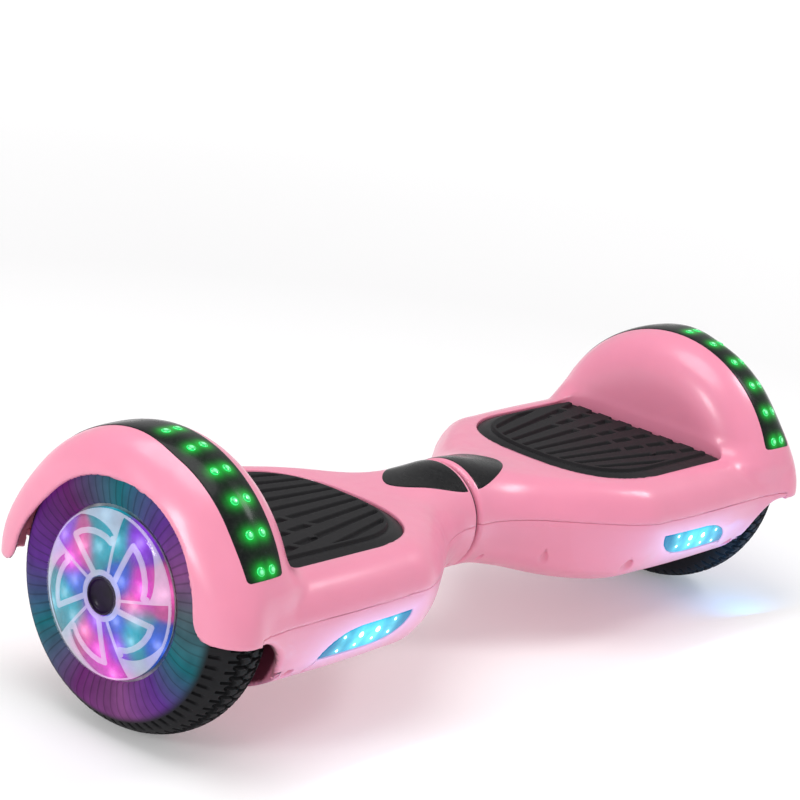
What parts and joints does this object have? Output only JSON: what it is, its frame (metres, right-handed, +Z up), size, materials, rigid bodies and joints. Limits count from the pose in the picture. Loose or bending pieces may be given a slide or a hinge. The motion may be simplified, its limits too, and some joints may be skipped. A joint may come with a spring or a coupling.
{
  "type": "self balancing hoverboard",
  "caption": "Two-wheeled self-balancing board: two twisting deck halves with foot pads, hub-motor wheels, fenders, headlights and lit wheel discs.",
  "frame": {"origin": "on the ground under the middle of the twist joint", "axes": "X along the board and the wheel axis, -Y to the front with the headlights, +Z up"},
  "size_m": [0.589, 0.1972, 0.178],
  "materials": {
    "shell": "satin moulded plastic",
    "casting": "as cast",
    "steel": "ground",
    "black_steel": "black oxide",
    "lamination": "stamped",
    "copper": "enamelled wire",
    "magnet": "nickel plated",
    "tyre": "moulded rubber",
    "led_board": "white solder mask",
    "wheel_lens": "clear tinted",
    "gloss_black": "high gloss",
    "pad_rubber": "matte moulded tread",
    "circuit_board": "solder mask",
    "green_led": "lit lens",
    "blue_lens": "lit clear lens",
    "battery_wrap": "shrink-wrapped metal cells",
    "cable": "sheathed",
    "bronze": "sintered",
    "switch_body": "moulded",
    "button": "gloss",
    "cap_rubber": "matte"
  },
  "bodies": {
    "left_half": {"left_upper_shell": "shell", "left_lower_shell": "shell", "left_frame": "casting", "left_axle_clamp": "casting", "left_clamp_screws": "black_steel", "left_axle": "steel", "left_stator_core": "lamination", "left_stator_windings": "copper", "left_bearing_inner_rings": "steel", "left_sensor_board": "circuit_board", "left_fender_strip": "gloss_black", "left_fender_leds": "green_led", "left_headlight_lens": "blue_lens", "left_headlight_leds": "led_board", "left_neck_inlay": "gloss_black", "left_shell_screws": "black_steel", "battery_pack": "battery_wrap", "centre_shaft": "steel", "wiring_harness": "cable", "joint_hardware": "black_steel"},
    "left_wheel": {"left_rotor_drum": "casting", "left_rotor_magnets": "magnet", "left_motor_end_cover": "casting", "left_bearing_outer_rings": "steel", "left_tyre": "tyre", "left_wheel_light_board": "led_board", "left_wheel_lens": "wheel_lens", "left_hub_cap": "gloss_black"},
    "left_pad": {"left_foot_pad": "pad_rubber"},
    "right_half": {"right_upper_shell": "shell", "right_lower_shell": "shell", "right_frame": "casting", "right_axle_clamp": "casting", "right_clamp_screws": "black_steel", "right_axle": "steel", "right_stator_core": "lamination", "right_stator_windings": "copper", "right_bearing_inner_rings": "steel", "right_sensor_board": "circuit_board", "right_fender_strip": "gloss_black", "right_fender_leds": "green_led", "right_headlight_lens": "blue_lens", "right_headlight_leds": "led_board", "right_neck_inlay": "gloss_black", "right_shell_screws": "black_steel", "main_board": "circuit_board", "twist_bushes": "bronze", "power_switch": "switch_body", "charge_port": "steel"},
    "right_wheel": {"right_rotor_drum": "casting", "right_rotor_magnets": "magnet", "right_motor_end_cover": "casting", "right_bearing_outer_rings": "steel", "right_tyre": "tyre", "right_wheel_light_board": "led_board", "right_wheel_lens": "wheel_lens", "right_hub_cap": "gloss_black"},
    "right_pad": {"right_foot_pad": "pad_rubber"},
    "button": {"power_button": "button"},
    "cap": {"charge_cap": "cap_rubber"}
  },
  "joints": [
    {"name": "deck_twist", "type": "hinge", "parent": "left_half", "child": "right_half", "pos_m": [0, 0, 0.085], "axis": [1, 0, 0], "range_deg": [-12, 12]},
    {"name": "left_wheel_spin", "type": "hinge", "parent": "left_half", "child": "left_wheel", "pos_m": [-0.26, 0, 0.085], "axis": [1, 0, 0], "continuous": true},
    {"name": "left_pad_press", "type": "slide", "parent": "left_half", "child": "left_pad", "axis": [0, 0, -1], "range_m": [0, 0.0015], "stiffness_N_per_m": 2000},
    {"name": "right_wheel_spin", "type": "hinge", "parent": "right_half", "child": "right_wheel", "pos_m": [0.26, 0, 0.085], "axis": [1, 0, 0], "continuous": true},
    {"name": "right_pad_press", "type": "slide", "parent": "right_half", "child": "right_pad", "axis": [0, 0, -1], "range_m": [0, 0.0015], "stiffness_N_per_m": 2000},
    {"name": "power_press", "type": "slide", "parent": "right_half", "child": "button", "axis": [0, -1, 0], "range_m": [0, 0.0015], "stiffness_N_per_m": 400},
    {"name": "cap_open", "type": "hinge", "parent": "right_half", "child": "cap", "pos_m": [0.186, 0.0903, 0.0576], "axis": [1, 0, 0], "range_deg": [-110, 0]}
  ]
}
